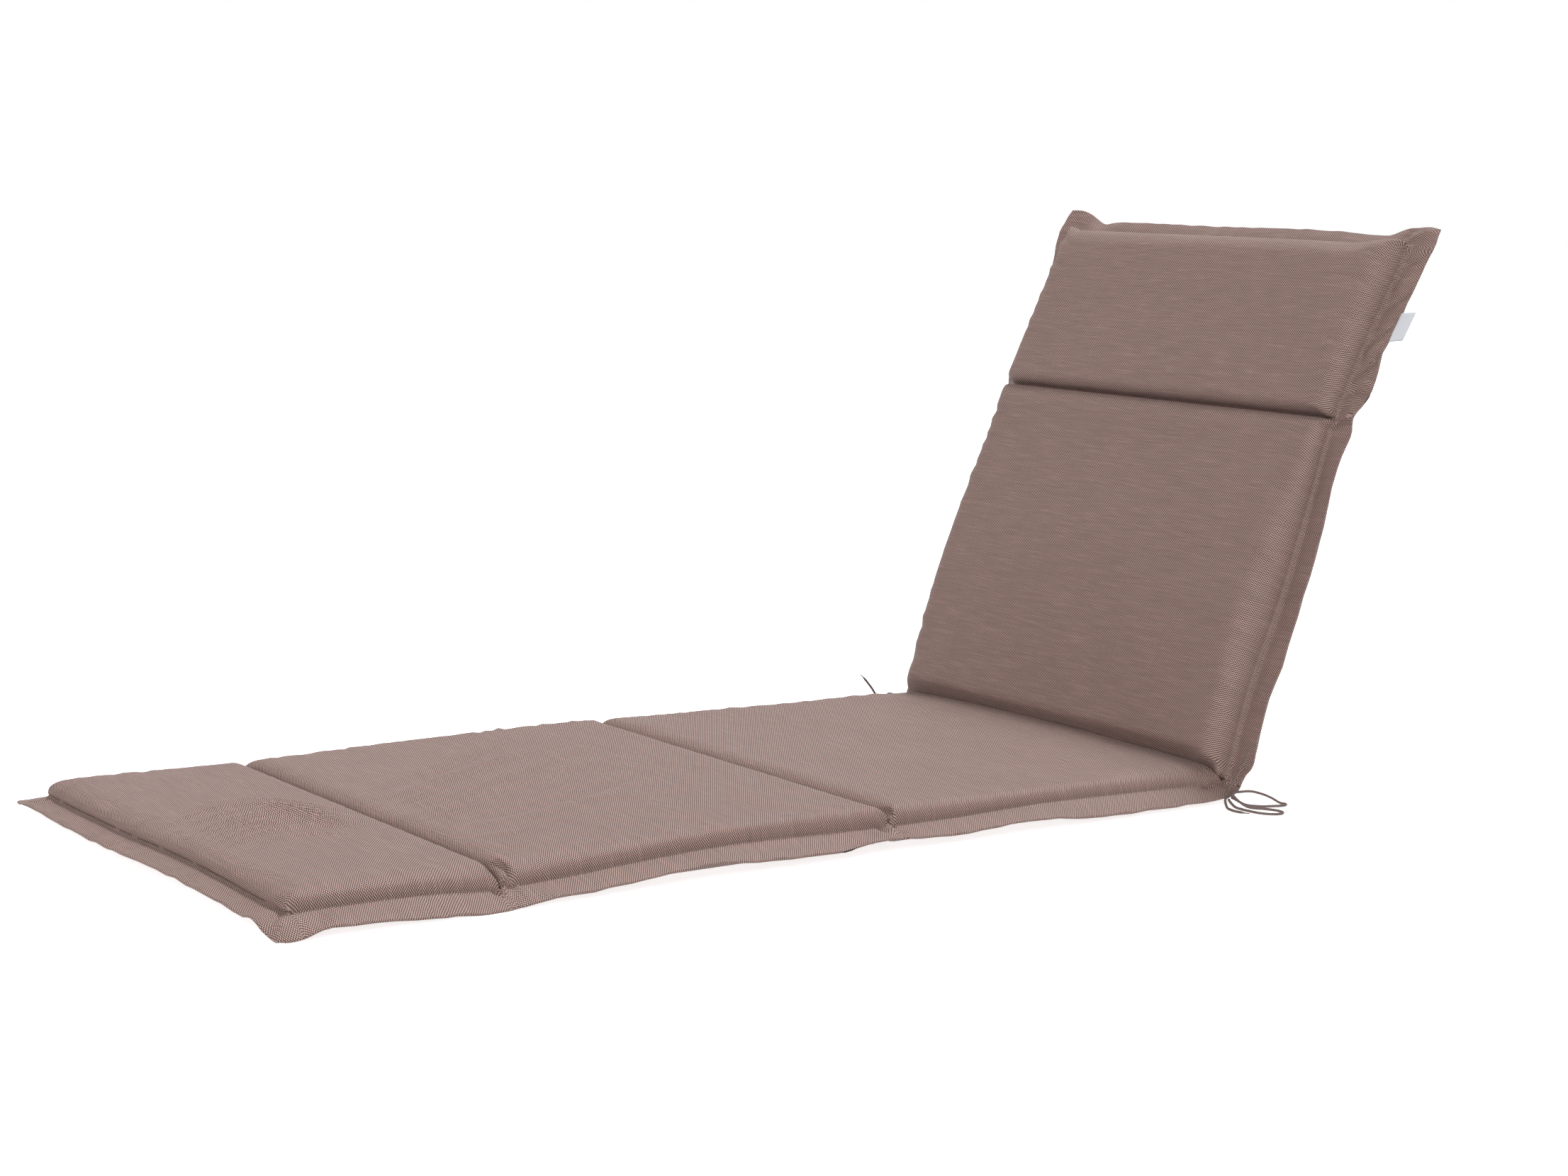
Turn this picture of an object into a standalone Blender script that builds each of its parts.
"""Sun lounger cushion, lying flat at foot, leg and seat with its back raised, as on a lounger.

Metres, +Z up. +Y runs from foot to head and +X is the side nearest the photograph's camera.
The cloth is first thought of flat: "across" runs over its width and "along" over its length,
both in the plane of the perimeter seam. spine() then bends that plane up at the back, and
every height below is measured square to it, plus towards the face that is lain on.
"""

import math
from bisect import bisect_right

import bmesh
import bpy
from mathutils import Matrix, Vector

# Sizes of the whole cushion
WIDTH = 0.600
LENGTH = 1.800
FLANGE = 0.030  # flat border of both cloth layers outside the seam
FLANGE_THICK = 0.0025
SEAM_HEIGHT = 0.0184  # the perimeter seam above the surface it lies on
SEAM_X = WIDTH / 2 - FLANGE
ORIGIN_ALONG = 0.910  # the middle of the seat, which is the part's origin

# Sewn cross channels, as distances along from the foot edge
FOOT_END = 0.239
LEG_END = 0.680
FOLD = 1.141
BACK_END = 1.554
CHANNELS = (FOOT_END, LEG_END, FOLD, BACK_END)
CHANNEL_HALF = 0.0015

# The back rises at the fold, and the head section leans a little further back
BACK_TILT = math.radians(69.4)
HEAD_TILT = math.radians(62.3)
FOLD_BEND = 0.006  # half the length of cloth that takes each bend

# How far in from a seam or channel the filling takes to reach its full height
SIDE_ROUND = 0.025
END_ROUND = 0.026
CHANNEL_ROUND = 0.024
UNDER_ROUND = 0.026
CORNER_FULLNESS = 5.0  # 1 would add the falls of two sides, and more keeps a corner fuller
SHOULDER = 2.6  # 2 makes a pad's side a plain arc, and more makes it steeper with a fuller top
SEAM_FADE = 0.026  # how far in from the edge the seam's unevenness is felt
FOLD_SLOPE = 1.36  # the two faces that meet in the fold stay just short of touching
BACK_BELLY = 0.015  # filling behind the seam of the back and head

# The seat swells across its width where the raised back presses on it
SEAT_DOME = 0.38  # of its crown, at the middle of the width
DOME_FROM, DOME_TO = 0.930, 1.110

# The flange is drawn in where a channel's stitching ends, and at its four corners
GATHERS = (
    # along, near side drawn in by, far side, over a length of
    (FOOT_END, 0.0020, 0.0020, 0.018),
    (LEG_END, 0.0030, 0.0030, 0.018),
    (FOLD + 0.004, 0.0110, 0.0020, 0.022),
    (BACK_END, 0.0030, 0.0030, 0.016),
)
CORNER_ROUND = 0.13
HEAD_DRAW_FADE = 0.120  # the length over which the head's end comes in between its corners

MM = 0.001

# Height of the filled face over the seam plane, mm
CROWN = (
    # along, crown
    (0.000, 19.5),
    (0.140, 18.5),
    (0.239, 18.5),
    (0.330, 19.5),
    (0.460, 21.0),
    (0.620, 22.8),
    (0.690, 21.8),
    (0.800, 19.0),
    (0.900, 17.6),
    (1.050, 17.4),
    (1.141, 17.0),
    (1.146, 31.5),
    (1.200, 37.0),
    (1.320, 42.5),
    (1.420, 36.5),
    (1.490, 29.5),
    (1.554, 28.0),
    (1.640, 31.0),
    (1.720, 33.0),
    (1.800, 32.0),
)

# Height of the seam and of the flange's outer edge over the seam plane, mm
NEAR_SIDE = (
    # along, seam, edge
    (0.000, -0.5, -17.0),
    (0.028, -0.5, -14.3),
    (0.055, -0.3, -8.0),
    (0.101, -0.2, -8.8),
    (0.134, -0.2, -11.6),
    (0.170, -1.4, -14.2),
    (0.210, -4.4, -16.4),
    (0.236, -6.6, -17.0),
    (0.263, -5.0, -11.7),
    (0.328, -1.9, -8.9),
    (0.383, 1.5, -5.2),
    (0.453, 4.6, -0.6),
    (0.500, 5.6, -4.6),
    (0.560, 4.6, -6.6),
    (0.608, 2.9, -7.4),
    (0.644, 2.0, -1.4),
    (0.690, 1.3, -3.7),
    (0.755, 1.0, -6.2),
    (0.822, 2.0, -3.3),
    (0.876, 3.2, -4.7),
    (0.913, 3.1, -8.9),
    (0.985, 1.6, -10.8),
    (1.100, -1.8, -10.4),
    (1.141, -3.0, -6.5),
    (1.165, -3.8, -3.2),
    (1.199, -1.0, 1.8),
    (1.237, 0.6, 3.9),
    (1.276, -0.7, -0.1),
    (1.339, -4.8, 0.3),
    (1.389, -3.6, 0.2),
    (1.440, -2.1, 3.2),
    (1.478, 0.2, 7.4),
    (1.516, 2.6, 8.3),
    (1.540, 2.4, 3.4),
    (1.561, 1.6, 7.0),
    (1.587, 1.6, -2.2),
    (1.604, 1.7, -1.2),
    (1.632, 1.0, 5.2),
    (1.658, 0.2, 1.1),
    (1.697, -1.5, -0.8),
    (1.741, -3.6, -4.0),
    (1.800, -3.6, -9.0),
)
FAR_SIDE = (
    # along, seam, edge
    (0.000, 0.0, -9.0),
    (0.045, -0.3, -12.5),
    (0.110, 0.2, -8.0),
    (0.180, -0.6, -13.0),
    (0.215, -2.0, -4.0),
    (0.239, -1.5, 4.5),
    (0.262, -1.2, -5.0),
    (0.290, -1.0, -7.5),
    (0.370, 1.2, -4.0),
    (0.450, 2.2, -9.5),
    (0.540, 2.0, -5.0),
    (0.630, 1.4, -9.0),
    (0.660, 1.0, -1.0),
    (0.681, 0.6, 8.0),
    (0.705, 0.8, -3.0),
    (0.760, 1.4, -7.0),
    (0.850, 2.0, -3.0),
    (0.940, 1.0, -9.5),
    (1.030, 0.4, -6.0),
    (1.110, -1.0, -9.0),
    (1.141, -2.0, -6.5),
    (1.175, -2.4, -8.0),
    (1.240, -0.8, -12.0),
    (1.320, -1.6, -8.5),
    (1.400, -1.0, -11.0),
    (1.470, -0.6, -12.0),
    (1.530, 0.0, -12.0),
    (1.566, 0.0, -7.5),
    (1.590, 0.0, -6.5),
    (1.628, -0.4, -11.0),
    (1.690, -0.8, -10.0),
    (1.722, -0.6, -1.0),
    (1.760, 0.0, 10.0),
    (1.800, 0.0, 8.0),
)
FOOT_EDGE = (
    # across, seam, edge
    (-0.300, -1.0, -9.0),
    (-0.240, -1.8, -4.6),
    (-0.185, -1.8, -6.0),
    (-0.061, -0.9, -6.0),
    (0.010, 1.4, -3.7),
    (0.075, 2.2, -2.0),
    (0.144, 1.4, -2.3),
    (0.200, -0.5, -3.2),
    (0.240, -1.0, -5.0),
    (0.264, -0.8, -3.4),
    (0.282, -0.6, -11.5),
    (0.300, -0.5, -17.0),
)
HEAD_EDGE = (
    # across, seam, edge, drawn in
    (-0.300, 0.0, 8.0, 0.0),
    (-0.280, -0.6, -2.0, 0.6),
    (-0.253, -1.6, -14.5, 8.0),
    (-0.232, -2.0, -12.0, 8.0),
    (-0.176, -2.4, -11.0, 8.0),
    (-0.055, -2.6, -12.5, 8.0),
    (0.085, -2.6, -11.5, 8.0),
    (0.160, -2.8, -13.0, 8.4),
    (0.218, -3.0, -15.5, 8.8),
    (0.244, -3.2, -11.5, 4.6),
    (0.285, -3.6, -9.0, 0.4),
    (0.300, -3.6, -9.0, 0.0),
)

# The small folded tag sewn into the near flange of the head section
LABEL_FROM = 1.651
LABEL_TO = 1.687
LABEL_REACH = 0.018
LABEL_RISE = 0.0030  # it hangs askew, its outer edge further up
LABEL_THICK = 0.0012

# The tie cords at the two ends of the fold
CORD = 0.0028
KNOT_ALONG = 1.112
KNOT_HEIGHT = 0.0120
KNOT_SIZE = (0.0084, 0.0100, 0.0092)
GAP = 0.0003
KNOT_STUB = 0.0035  # how far a strand leaves the knot straight
CORD_STEP = 0.0065

CLOTH_COLOUR = (0.262, 0.184, 0.165, 1.0)
CORD_COLOUR = (0.175, 0.118, 0.104, 1.0)
LABEL_COLOUR = (0.760, 0.780, 0.810, 1.0)


def clear_scene():
    for obj in list(bpy.data.objects):
        bpy.data.objects.remove(obj, do_unlink=True)


def material(name, colour, roughness):
    made = bpy.data.materials.new(name)
    made.use_nodes = True
    shader = made.node_tree.nodes["Principled BSDF"]
    shader.inputs["Base Color"].default_value = colour
    shader.inputs["Roughness"].default_value = roughness
    shader.inputs["Metallic"].default_value = 0.0
    return made


def mesh_object(name, shape, look):
    """Closes a bmesh into an object with one material, its faces turned outward."""
    bmesh.ops.recalc_face_normals(shape, faces=shape.faces)
    mesh = bpy.data.meshes.new(name)
    shape.to_mesh(mesh)
    shape.free()
    mesh.materials.append(look)
    mesh.shade_smooth()
    obj = bpy.data.objects.new(name, mesh)
    bpy.context.scene.collection.objects.link(obj)
    return obj


def clamp(value, low=0.0, high=1.0):
    return max(low, min(high, value))


def ease(value):
    value = clamp(value)
    return value * value * (3 - 2 * value)


def smooth_min(a, b, blend):
    return 0.5 * (a + b - math.sqrt((a - b) ** 2 + blend**2))


def at(table, place):
    """The table's other columns at this place, along a smooth curve through its rows."""
    places = [row[0] for row in table]
    i = int(clamp(bisect_right(places, place) - 1, 0, len(table) - 2))
    t = clamp((place - places[i]) / (places[i + 1] - places[i]))
    found = []
    for column in range(1, len(table[0])):
        a, b = table[i][column], table[i + 1][column]
        slopes = []
        for k in (i, i + 1):
            low, high = max(k - 1, 0), min(k + 1, len(table) - 1)
            rise = table[high][column] - table[low][column]
            slopes.append(rise / (places[high] - places[low]) * (places[i + 1] - places[i]))
        found.append(
            a * (1 + 2 * t) * (1 - t) ** 2
            + slopes[0] * t * (1 - t) ** 2
            + b * t * t * (3 - 2 * t)
            + slopes[1] * t * t * (t - 1)
        )
    return found


def spine(along):
    """(Y, Z, tilt) of the seam plane: straight stretches joined by two short arcs."""
    stretches = (
        (FOLD - FOLD_BEND, 0.0),
        (2 * FOLD_BEND, BACK_TILT),
        (BACK_END - FOLD - 2 * FOLD_BEND, 0.0),
        (2 * FOLD_BEND, HEAD_TILT - BACK_TILT),
        (LENGTH, 0.0),
    )
    y, z, tilt, left = -ORIGIN_ALONG, SEAM_HEIGHT, 0.0, along
    for length, turn in stretches:
        part = min(left, length)
        bend = turn * part / length
        chord = part if abs(bend) < 1e-9 else 2 * part / bend * math.sin(bend / 2)
        y += chord * math.cos(tilt + bend / 2)
        z += chord * math.sin(tilt + bend / 2)
        tilt += bend
        left -= part
        if left <= 0:
            break
    return y, z, tilt


def place(across, along, height):
    """The point at this height over the seam plane."""
    y, z, tilt = spine(along)
    return Vector((across, y - height * math.sin(tilt), z + height * math.cos(tilt)))


def swell(distance, reach):
    """Rises from 0 at a seam to 1 inside it, as the side of a filled pad does."""
    return (1 - (1 - clamp(distance / reach)) ** SHOULDER) ** (1 / SHOULDER)


def pad_rise(*slopes):
    """Where slopes from different sides meet, the lowest of them, with its corner rounded."""
    fall = sum((1 - slope) ** CORNER_FULLNESS for slope in slopes)
    return clamp(1 - fall ** (1 / CORNER_FULLNESS))


def dome(across, along):
    """How much the seat's crown grows towards the middle of its width, close to the fold."""
    if along > FOLD:
        return 1.0
    close = ease((along - DOME_FROM) / (DOME_TO - DOME_FROM))
    return 1 + SEAT_DOME * close * (1 - min(1.0, (across / SEAM_X) ** 2))


def head_draw(across, along):
    """How far the cloth at the head's end is pulled in by its filling, between the corners."""
    share = ease((along - LENGTH + FLANGE + HEAD_DRAW_FADE) / HEAD_DRAW_FADE)
    return MM * at(HEAD_EDGE, across)[2] * share


def distances(across, along):
    """How far in from the side seam, the end seams and the nearest channel, and from the fold."""
    side = SEAM_X - abs(across)
    end = min(along - FLANGE, LENGTH - FLANGE - along)
    channel = min(abs(along - c) for c in CHANNELS) - CHANNEL_HALF
    return side, end, channel, abs(along - FOLD)


def seam_lift(across, along):
    """How far the seam's unevenness lifts the cloth here, fading out inside the pads."""
    near, far = at(NEAR_SIDE, along)[0], at(FAR_SIDE, along)[0]
    foot, head = at(FOOT_EDGE, across)[0], at(HEAD_EDGE, across)[0]
    fade = SEAM_FADE
    sides = near * (1 - ease((SEAM_X - across) / fade)) + far * (1 - ease((SEAM_X + across) / fade))
    ends = foot * (1 - ease((along - FLANGE) / fade))
    ends += head * (1 - ease((LENGTH - FLANGE - along) / fade))
    reach = max(1 - ease((SEAM_X - abs(across)) / fade), 1e-6)
    end_reach = 1 - ease(min(along - FLANGE, LENGTH - FLANGE - along) / fade)
    return MM * (sides * reach + ends * end_reach) / (reach + end_reach)


def flange_drop(across, along):
    """(height, side reach, end reach) of the flange here: how it hangs, and how much of its
    width the hang takes up across and along."""
    beyond_side = max(0.0, abs(across) - SEAM_X) / FLANGE
    beyond_end = max(0.0, FLANGE - along, along - LENGTH + FLANGE) / FLANGE
    side_seam, side_edge = at(NEAR_SIDE if across > 0 else FAR_SIDE, along)
    end_seam, end_edge = at(FOOT_EDGE if along < FOLD else HEAD_EDGE, across)[:2]
    side_drop = MM * (side_edge - side_seam)
    end_drop = MM * (end_edge - end_seam)
    beyond = max(beyond_side, beyond_end)
    if beyond == 0:
        return 0.0, 1.0, 1.0
    share = beyond_side / (beyond_side + beyond_end)
    drop = (share * side_drop + (1 - share) * end_drop) * beyond**1.2
    gathered = sum(
        (near if across > 0 else far) / FLANGE * (1 - ease(abs(along - c) / over))
        for c, near, far, over in GATHERS
    )
    rounding = 1 - CORNER_ROUND * beyond_side * beyond_end
    side_reach = math.sqrt(1 - min(0.75, (side_drop / FLANGE) ** 2)) - gathered
    end_reach = math.sqrt(1 - min(0.75, (end_drop / FLANGE) ** 2))
    return drop, side_reach * rounding, end_reach * rounding


def cloth_point(across, along, upper):
    """A point of the cushion's upper or lower cloth."""
    side, end, channel, fold = distances(across, along)
    lift = seam_lift(across, along)
    drop, side_reach, end_reach = flange_drop(across, along)
    middle = lift + drop
    x = math.copysign(SEAM_X + (abs(across) - SEAM_X) * side_reach, across) if side < 0 else across
    v = along
    if along < FLANGE:
        v = FLANGE - (FLANGE - along) * end_reach
    if along > LENGTH - FLANGE:
        v = LENGTH - FLANGE + (along - LENGTH + FLANGE) * end_reach
    v -= head_draw(across, along)
    filled = side > 0 and end > 0 and channel > 0
    if upper:
        height = middle + FLANGE_THICK / 2
        if filled:
            rise = pad_rise(
                swell(side, SIDE_ROUND), swell(end, END_ROUND), swell(channel, CHANNEL_ROUND)
            )
            height += MM * at(CROWN, along)[0] * rise * dome(across, along)
            height = smooth_min(height, FOLD_SLOPE * fold + FLANGE_THICK / 2 + MM, MM)
        return place(x, v, height)
    if not filled:
        point = place(x, v, middle - FLANGE_THICK / 2)
        point.z = max(point.z, 0.0)
        return point
    rise = pad_rise(*(swell(gap, UNDER_ROUND) for gap in (side, end, channel)))
    depth = BACK_BELLY if along > FOLD else SEAM_HEIGHT + middle - FLANGE_THICK / 2
    return place(x, v, middle - FLANGE_THICK / 2 - depth * rise)


def filled_in(marks, step):
    """The marks, with even steps put between those that lie further apart."""
    lines = [marks[0]]
    for a, b in zip(marks, marks[1:]):
        parts = max(1, math.ceil((b - a) / step - 1e-6))
        lines += [a + (b - a) * k / parts for k in range(1, parts + 1)]
    return lines


def grid_lines():
    """Where the mesh's lines lie across and along: close where the cloth turns sharply."""
    inward = (0.0, 0.0020, 0.0060, 0.0130, 0.0240, 0.0400, 0.0700, 0.1200, 0.1900)
    half = [WIDTH / 2 - f * FLANGE for f in (0.0, 0.34, 0.67)]
    half += [SEAM_X - d for d in inward]
    across = [-x for x in half] + [0.0] + half[::-1]
    end = (0.0, 0.0100, 0.0200, 0.0300, 0.0318, 0.0355, 0.0425, 0.0540, 0.0740)
    beside = (0.0015, 0.0042, 0.0090, 0.0170, 0.0280)
    beside_fold = (0.0, 0.0030, 0.0060, 0.0105, 0.0160, 0.0230, 0.0330)
    marks = list(end) + [LENGTH - d for d in end]
    for channel in CHANNELS:
        for d in beside_fold if channel == FOLD else beside:
            marks += [channel - d, channel + d]
    return across, filled_in(sorted(set(marks)), 0.0250)


def make_cushion(look):
    """Both layers of cloth over one grid, joined round the flange's outer edge."""
    across, along = grid_lines()
    shape = bmesh.new()
    layers = [
        [[shape.verts.new(cloth_point(x, v, upper)) for x in across] for v in along]
        for upper in (True, False)
    ]
    for layer in layers:
        for row, following in zip(layer, layer[1:]):
            for k in range(len(row) - 1):
                shape.faces.new((row[k], row[k + 1], following[k + 1], following[k]))
    top, under = layers
    rims = (
        (top[0], under[0]),
        (top[-1], under[-1]),
        ([row[0] for row in top], [row[0] for row in under]),
        ([row[-1] for row in top], [row[-1] for row in under]),
    )
    for upper, lower in rims:
        for k in range(len(upper) - 1):
            shape.faces.new((upper[k], upper[k + 1], lower[k + 1], lower[k]))
    return mesh_object("cushion", shape, look)


def make_label(look):
    """A thin folded tag that stands out of the near flange's edge."""
    inner = [cloth_point(WIDTH / 2, v, False) for v in (LABEL_FROM, LABEL_TO)]
    outer = []
    for point, v in zip(inner, (LABEL_FROM, LABEL_TO)):
        up = place(0, v + LABEL_RISE, 0) - place(0, v, 0)
        outer.append(point + Vector((LABEL_REACH, 0, 0)) + up)
    inner = [point + Vector((GAP, 0, 0)) for point in inner]
    front = place(0, LABEL_FROM, 1) - place(0, LABEL_FROM, 0)
    shape = bmesh.new()
    loops = []
    for side in (0.5, -0.5):
        shift = front * LABEL_THICK * (side + 0.5)
        corners = (inner[0], outer[0], outer[1], inner[1])
        loops.append([shape.verts.new(corner + shift) for corner in corners])
    shape.faces.new(loops[0])
    shape.faces.new(loops[1])
    for k in range(4):
        n = (k + 1) % 4
        shape.faces.new((loops[0][k], loops[0][n], loops[1][n], loops[1][k]))
    obj = mesh_object("label", shape, look)
    obj.data.shade_flat()
    return obj


def knot_centre(hand):
    """The knot sits just outside the flange's edge at the fold. hand is +1 near, -1 far."""
    edge = cloth_point(hand * WIDTH / 2, KNOT_ALONG, True).x
    return Vector((edge + hand * (KNOT_SIZE[0] / 2 + GAP), KNOT_ALONG - ORIGIN_ALONG, KNOT_HEIGHT))


def make_knot(name, hand, look):
    shape = bmesh.new()
    bmesh.ops.create_uvsphere(shape, u_segments=16, v_segments=10, radius=0.5)
    for vert in shape.verts:
        turns = math.atan2(vert.co.z, vert.co.x)
        waist = 0.96 + 0.04 * math.cos(3 * turns + 14 * vert.co.y)
        vert.co.x *= KNOT_SIZE[0] * waist
        vert.co.y *= KNOT_SIZE[1]
        vert.co.z *= KNOT_SIZE[2] * waist
    bmesh.ops.translate(shape, vec=knot_centre(hand), verts=shape.verts)
    return mesh_object(name, shape, look)


# Routes of the tie's four strands: millimetres from the knot's centre as outward from the
# cushion, towards the head, and up. A strand meets the knot in the direction of its first
# point, and a loop in that of its last one too. What hangs below the seat in the photo
# lies on the surface here.
LOW = 1000 * (CORD / 2 + GAP - KNOT_HEIGHT)
NEAR_TIE = {
    "loop_a": (
        (1.6, 6.6, 2.4), (5.0, 15, 3.6), (9, 27, 3.6), (13, 40, 0.0), (15, 52, -5.0),
        (20, 60, LOW), (28, 61, LOW), (32, 54, LOW), (29, 42, LOW), (22, 28, LOW),
        (13.6, 15, LOW + 1.5), (6.2, 6.4, -3.2),
    ),
    "loop_b": (
        (5.6, -0.6, -5.2), (13, 0, LOW + 0.6), (23, 0, LOW), (35, 1, LOW), (47, 4, LOW),
        (56, 11, LOW), (60, 20, LOW), (56, 28, LOW), (46, 29, LOW), (34, 23, LOW),
        (22, 12, LOW + 0.6), (14, 5, LOW + 6.0), (7.4, 1.6, 1.2),
    ),
    "end_a": (
        (-0.5, 2.6, 5.9), (0.2, 7, 12), (1.0, 13, 21), (1.4, 19, 30), (0.6, 25, 39), (0.4, 28, 47),
    ),
    "end_b": (
        (3.4, -5.2, -3.4), (10, -9, LOW + 0.6), (18, -12, LOW), (27, -13, LOW), (36, -11, LOW),
        (43, -8, LOW),
    ),
}
FAR_TIE = {
    "loop_a": (
        (1.6, 6.6, 2.4), (4.0, 12, 6.5), (6.5, 19, 10.8), (10, 30, 8.0), (14, 42, 0.0),
        (20, 52, LOW), (28, 53, LOW), (32, 46, LOW), (28, 34, LOW), (20, 22, LOW),
        (12.5, 13, LOW + 2.2), (6.2, 6.4, -3.2),
    ),
    "loop_b": (
        (5.6, -0.6, -5.2), (13, -1, LOW + 0.6), (23, -4, LOW), (35, -7, LOW), (46, -7, LOW),
        (55, -2, LOW), (59, 7, LOW), (55, 15, LOW), (45, 17, LOW), (33, 13, LOW),
        (22, 7, LOW + 0.6), (14, 4.0, LOW + 6.0), (7.4, 1.6, 1.2),
    ),
    "end_a": (
        (-0.5, -1.6, 5.9), (0.0, -5.5, 12), (0.4, -12, 21), (0.6, -19, 29), (0.2, -26, 36),
        (0.0, -31, 40),
    ),
    "end_b": (
        (3.4, -5.2, -3.4), (9, -11, LOW + 0.6), (16, -17, LOW), (24, -22, LOW), (32, -25, LOW),
        (40, -25, LOW),
    ),
}


def smooth_route(points):
    """Points every CORD_STEP or so along a smooth curve through the route's own points."""
    route = [Vector(point) for point in points]
    ends = [2 * route[0] - route[1]] + route + [2 * route[-1] - route[-2]]
    found = [route[0]]
    for k in range(1, len(ends) - 2):
        p, q, r, s = ends[k - 1 : k + 3]
        parts = max(1, round((r - q).length / CORD_STEP))
        for i in range(1, parts + 1):
            t = i / parts
            found.append(
                0.5
                * (
                    2 * q
                    + (r - p) * t
                    + (2 * p - 5 * q + 4 * r - s) * t * t
                    + (3 * q - p - 3 * r + s) * t**3
                )
            )
    return found


def on_knot(direction):
    """A strand's first two points: just clear of the knot's surface in this direction, and
    straight out from there, so that the strand's cap faces the knot."""
    way = Vector(direction).normalized()
    reach = 1 / math.sqrt(sum((2 * w / size) ** 2 for w, size in zip(way, KNOT_SIZE)))
    return [way * (reach + GAP), way * (reach + GAP + KNOT_STUB)]


def make_strand(name, hand, route, look):
    """One strand of a tie as a capped tube on a poly spline."""
    local = on_knot(route[0]) + [MM * Vector(point) for point in route[1:]]
    if "loop" in name:
        local[-1:] = reversed(on_knot(route[-1]))
    centre = knot_centre(hand)
    points = smooth_route([centre + Matrix.Diagonal((hand, 1, 1)) @ point for point in local])
    curve = bpy.data.curves.new(name, "CURVE")
    curve.dimensions = "3D"
    curve.bevel_depth = CORD / 2
    curve.bevel_resolution = 2
    curve.use_fill_caps = True
    spline = curve.splines.new("POLY")
    spline.points.add(len(points) - 1)
    for spot, point in zip(spline.points, points):
        spot.co = (*point, 1)
    spline.use_smooth = True
    curve.materials.append(look)
    obj = bpy.data.objects.new(name, curve)
    bpy.context.scene.collection.objects.link(obj)
    return obj


def make_tie(side, hand, routes, look):
    make_knot(f"tie_{side}_knot", hand, look)
    for strand, route in routes.items():
        make_strand(f"tie_{side}_{strand}", hand, route, look)


def main():
    clear_scene()
    cloth = material("cover_cloth", CLOTH_COLOUR, 0.75)
    cord = material("tie_cord", CORD_COLOUR, 0.80)
    satin = material("label_satin", LABEL_COLOUR, 0.45)
    make_cushion(cloth)
    make_label(satin)
    make_tie("near", 1, NEAR_TIE, cord)
    make_tie("far", -1, FAR_TIE, cord)


main()
